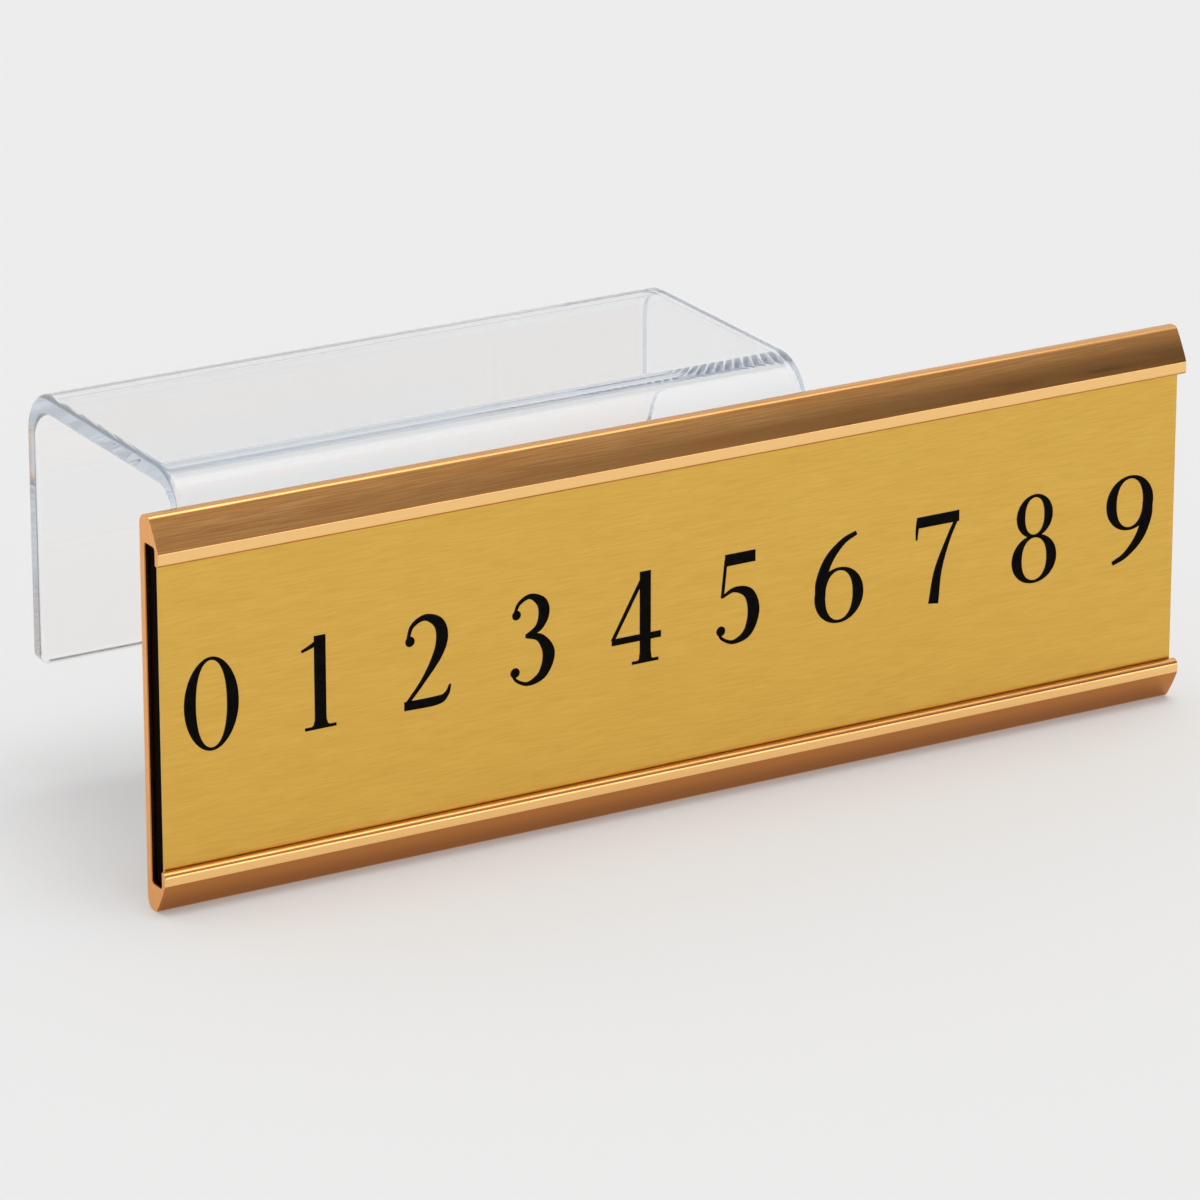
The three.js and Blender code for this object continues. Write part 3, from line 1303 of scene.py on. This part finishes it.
@dataclass
class Studio:
    """A pale floor under a soft sky, dim above eye level behind the camera, with a few soft patches.

    Attributes:
        background: the sky's tone where it is seen low down, the same as the floor's.
        brightest_seen: its brightest tone where it is seen higher up.
        low_sky: the heights between which the one goes over into the other.
        sky: its tone as a light, where 1 is white.
        front_sky: its tone above eye level behind the camera.
        front: the direction behind the camera.
        front_fade: the cosines from that direction between which the sky dims.
        eye_level: the heights between which it dims.
        patches: the dark card at the right, the light behind the camera and the one overhead.
        aim: the point that the camera looks at.
        distance: how far from it the camera stands.
    """

    floor_radius: float = 6.0
    floor_z: float = -75.0 * MM
    floor_spokes: int = 96
    floor_rings: int = 24
    background: float = 0.838
    brightest_seen: float = 1.0
    low_sky: Span = (0.1, 0.3)
    sky: float = 0.70
    front_sky: float = 0.46
    front: Triple = (0.25, -0.97, 0.0)
    front_fade: Span = (-0.1, 0.55)
    eye_level: Span = (0.08, 0.34)
    patches: tuple[Patch, ...] = (
        Patch((0.68, -0.64, 0.36), 0.03, 10.5, 18.5),
        Patch((0.4, -0.9, 0.05), 2.3, 6.0, 20.0),
        Patch((0.12, -0.11, 0.95), 3.85, 0.0, 28.0),
    )
    aim: Triple = (22.08 * MM, -27.85 * MM, -35.71 * MM)
    distance: float = 1302.18 * MM
    turn_degrees: float = 30.305
    tilt_degrees: float = 19.869
    lens_mm: float = 213.08
    sensor_mm: float = 36.0
    finish: PaleSweep = PaleSweep()

    def floor(self) -> Piece:
        """Makes the floor, a disc of rings whose radius grows with the square of the ring's number.

        Returns:
            The floor.
        """
        share = (np.arange(1, self.floor_rings + 1) / self.floor_rings) ** 2
        turn = np.linspace(0, 2 * np.pi, self.floor_spokes, endpoint=False)
        radius = self.floor_radius * share[:, None]
        x, y = radius * np.cos(turn), radius * np.sin(turn)
        points = np.stack([x, y, np.full(x.shape, self.floor_z)], axis=-1).reshape(-1, 3)
        loops = np.arange(x.size).reshape(x.shape)
        surface = Surface(points, [loops_joined(loops)], [(loops[0], 0)])
        floor = bpy.data.objects.new("floor", surface.mesh("floor"))
        bpy.context.scene.collection.objects.link(floor)
        floor.data.materials.append(self.finish.material())
        return floor

    def light(self) -> None:
        """Makes the sky: even all round, dimmer above eye level on the camera's side, with its patches.

        Where the camera sees the sky itself, or sees it through acrylic, it is as pale as the floor up
        to a low height, and above that it keeps its own tones but is no brighter than white.
        """
        nodes = Sky()
        upwards = (0.0, 0.0, 1.0)
        behind_camera = nodes.rise(self.front, self.front_fade)
        dimmed = nodes.worked("MULTIPLY", behind_camera, nodes.rise(upwards, self.eye_level))
        tone = nodes.blend(dimmed, self.sky, self.front_sky, "FLOAT")
        for patch in self.patches:
            shown = nodes.rise(patch.towards, patch.reach())
            tone = nodes.blend(shown, tone, patch.tone, "FLOAT")
        high_tone = nodes.worked("MINIMUM", tone, self.brightest_seen)
        height = nodes.rise(upwards, self.low_sky)
        seen = nodes.blend(height, self.background, high_tone, "FLOAT")
        looking = nodes.looking("Is Transmission Ray")
        sky = nodes.chosen(looking, nodes.white(tone), nodes.white(seen))
        nodes.add("OutputWorld", {"Surface": sky})

    def camera(self) -> Piece:
        """Makes the camera at the photograph's place, level, turned to the right and tilted down.

        Returns:
            The scene's camera.
        """
        turn, tilt = math.radians(self.turn_degrees), math.radians(self.tilt_degrees)
        level = math.cos(tilt)
        forward = Vector((math.sin(turn) * level, math.cos(turn) * level, -math.sin(tilt)))
        data = bpy.data.cameras.new("camera")
        data.lens = self.lens_mm
        data.sensor_width = self.sensor_mm
        camera = bpy.data.objects.new("camera", data)
        camera.location = Vector(self.aim) - forward * self.distance
        camera.rotation_euler = (math.pi / 2 - tilt, 0.0, -turn)
        bpy.context.scene.collection.objects.link(camera)
        bpy.context.scene.camera = camera
        return camera

    def build(self) -> list[Piece]:
        """Makes the floor, the sky and the camera."""
        scene = bpy.context.scene
        scene.view_settings.view_transform = "Standard"
        scene.cycles.max_bounces = ACRYLIC_BOUNCES
        scene.cycles.glossy_bounces = ACRYLIC_BOUNCES
        scene.cycles.transmission_bounces = ACRYLIC_BOUNCES
        self.light()
        return [self.floor(), self.camera()]


def report(pieces: Sequence[Piece]) -> None:
    """Logs each piece's name and size.

    Args:
        pieces: the pieces.
    """
    for piece in pieces:
        size = " x ".join(f"{side / MM:.1f}" for side in piece.dimensions)
        log.info("%s: %s mm, %d points", piece.name, size, len(getattr(piece.data, "vertices", ())))


def main() -> None:
    """Builds the studio and every sub-assembly in order."""
    logging.basicConfig(level=logging.INFO, format="%(message)s", stream=sys.stdout)
    report(Studio().build())
    report([SaddleBracket().build()])
    report(FoamTapes().build())
    report([PlateHolder().build()])
    report(SlidePlate().build())


if __name__ == "__main__":
    main()
